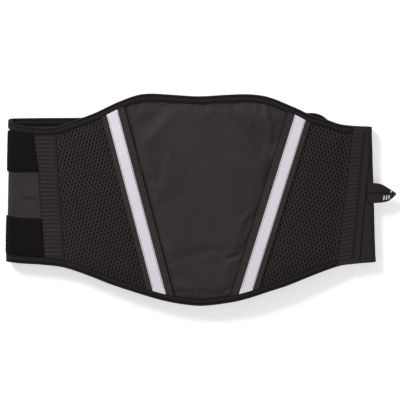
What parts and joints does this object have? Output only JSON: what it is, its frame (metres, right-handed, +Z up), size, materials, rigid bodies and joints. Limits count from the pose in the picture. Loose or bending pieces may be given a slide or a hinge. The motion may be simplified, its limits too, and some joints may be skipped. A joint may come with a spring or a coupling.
{
  "type": "kidney belt",
  "caption": "Padded rider's kidney belt with mesh side panels, reflective strips and hook-and-loop wings, fastened in front and laid flat with its back up.",
  "frame": {"origin": "middle of the belt's footprint, on the surface it lies on", "axes": "+X along the belt to the side with the pull tab, +Y up the wearer's back, +Z up, out of the back's outer face"},
  "size_m": [0.489, 0.2648, 0.028],
  "materials": {
    "nylon": "fine woven charcoal nylon, slight sheen",
    "mesh": "black spacer mesh, matte",
    "elastic": "ribbed black elastic, matte",
    "webbing": "grosgrain tape, matte",
    "reflective": "silver bead-coated reflective tape, satin",
    "ribbon": "black folded binding ribbon, matte",
    "velour": "brushed black knit, matte",
    "loop_pile": "black loop pile, matte",
    "hook": "moulded hook tape, matte"
  },
  "bodies": {
    "root": {"centre_panel": "nylon", "mesh_panel_left": "mesh", "mesh_panel_right": "mesh", "elastic_panel_left": "elastic", "elastic_panel_right": "elastic", "seam_tape_left": "webbing", "seam_tape_right": "webbing", "reflective_strip_left": "reflective", "reflective_strip_right": "reflective", "top_binding": "ribbon", "bottom_binding": "ribbon", "left_wing": "nylon", "right_wing": "velour", "wing_binding_upper": "ribbon", "wing_binding_lower": "ribbon", "loop_strip_upper": "loop_pile", "loop_strip_lower": "loop_pile", "hook_patch_upper": "hook", "hook_patch_lower": "hook", "pull_tab": "ribbon"}
  },
  "joints": []
}
